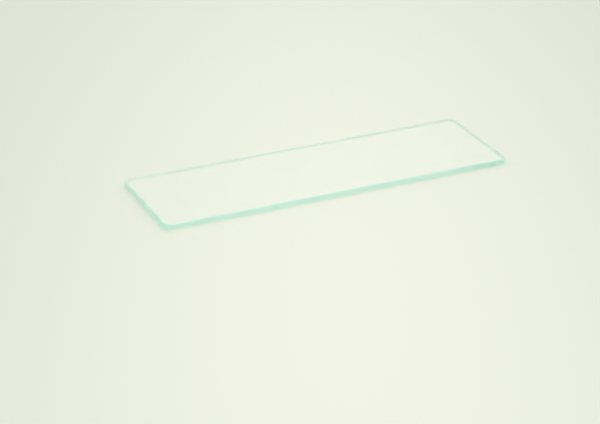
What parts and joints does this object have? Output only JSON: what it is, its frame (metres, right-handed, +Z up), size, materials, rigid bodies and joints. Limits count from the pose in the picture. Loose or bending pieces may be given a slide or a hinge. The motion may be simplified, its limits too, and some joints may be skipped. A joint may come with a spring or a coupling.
{
  "type": "microscope slide",
  "caption": "Flat clear glass pane with ground edges and rounded corners, which carries a specimen on a microscope's stage.",
  "frame": {"origin": "centre of the lower polished face, on the surface that the slide lies on", "axes": "+X along the slide's length, +Y across its width, +Z up through its thickness"},
  "size_m": [0.076, 0.026, 0.0011],
  "materials": {
    "clear_glass": "clear, faintly green soda-lime glass, polished on both faces, with fine-ground frosted edges"
  },
  "bodies": {
    "root": {"glass_slide": "clear_glass"}
  },
  "joints": []
}
